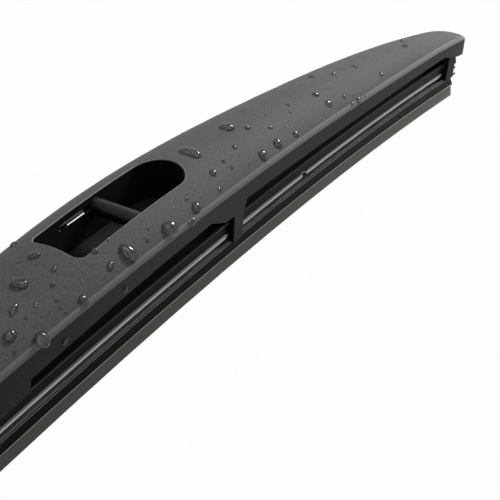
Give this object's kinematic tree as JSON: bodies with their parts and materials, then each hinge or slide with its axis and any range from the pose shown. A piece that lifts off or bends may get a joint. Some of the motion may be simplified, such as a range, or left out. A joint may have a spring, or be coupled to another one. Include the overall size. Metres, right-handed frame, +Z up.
{
  "type": "rear wiper blade",
  "caption": "Rear wiper blade with an arched one-piece plastic body, an arm window with a cross pin, integral claws, and a rubber strip held by steel rails.",
  "frame": {"origin": "middle of the cross pin's axis in the arm window", "axes": "+X along the blade, +Y across it along the cross pin, +Z up, away from the wiping lip"},
  "size_m": [0.2584, 0.018, 0.0359],
  "materials": {
    "body_plastic": "fine moulded grain",
    "rubber": "smooth, slightly glossy neck",
    "rail_steel": "dark spring steel"
  },
  "bodies": {
    "root": {"blade_body": "body_plastic", "wiper_rubber": "rubber", "near_rail": "rail_steel", "far_rail": "rail_steel"}
  },
  "joints": []
}
